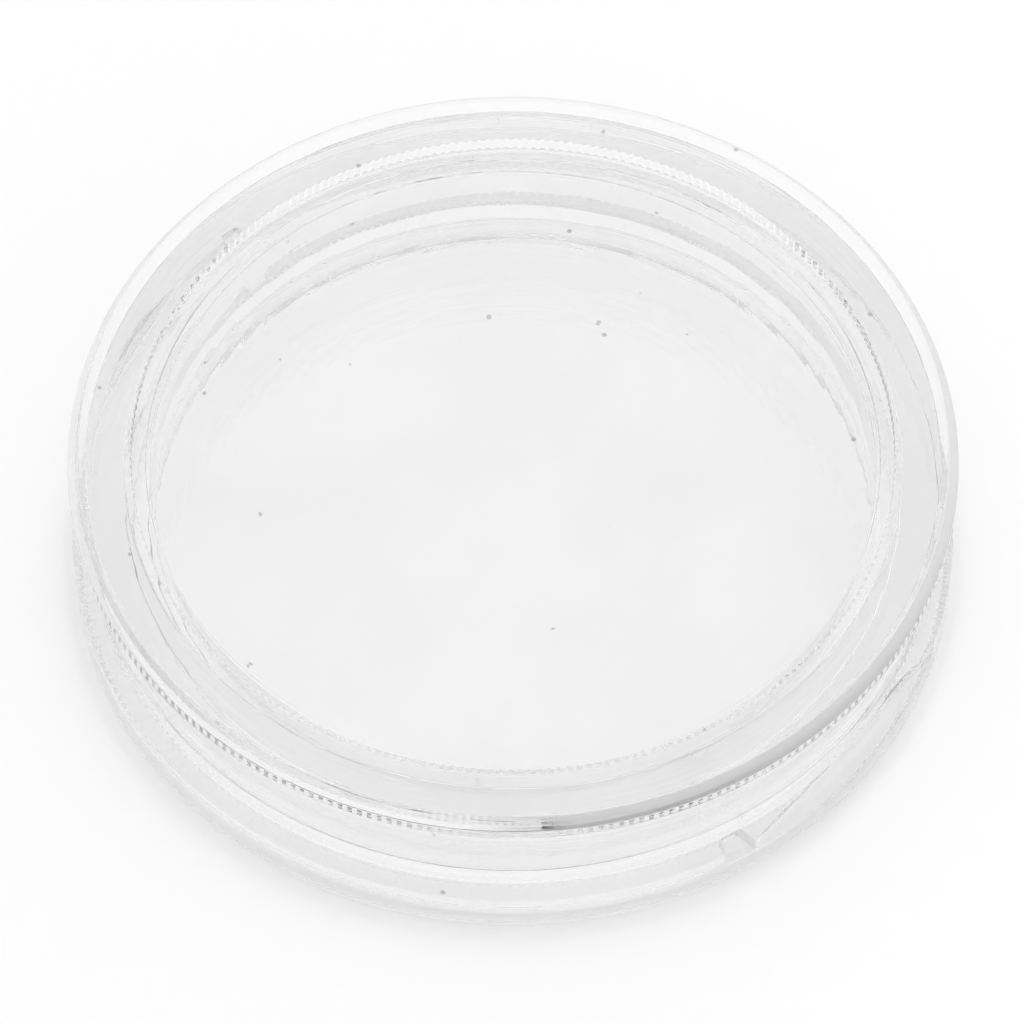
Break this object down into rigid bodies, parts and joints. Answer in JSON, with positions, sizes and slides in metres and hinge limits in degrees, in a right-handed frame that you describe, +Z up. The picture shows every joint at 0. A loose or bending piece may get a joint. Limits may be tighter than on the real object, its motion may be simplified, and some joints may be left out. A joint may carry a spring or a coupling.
{
  "type": "coin capsule",
  "caption": "Round clear plastic capsule for one coin: a lid with a recessed window and skirt slips over a base with a round coin pocket.",
  "frame": {"origin": "centre of the base's foot, on the surface it rests on", "axes": "+Z up along the capsule's axis, from the base to the lid; +X to the right and +Y to the rear as seen from the front"},
  "size_m": [0.032, 0.032, 0.0069],
  "materials": {
    "clear_lid": "clear, polished",
    "clear_base": "clear, polished"
  },
  "bodies": {
    "base": {"base": "clear_base"},
    "lid": {"lid": "clear_lid"}
  },
  "joints": [
    {"name": "lid_lift", "type": "slide", "parent": "base", "child": "lid", "axis": [0, 0, 1], "range_m": [0, 0.04]}
  ]
}
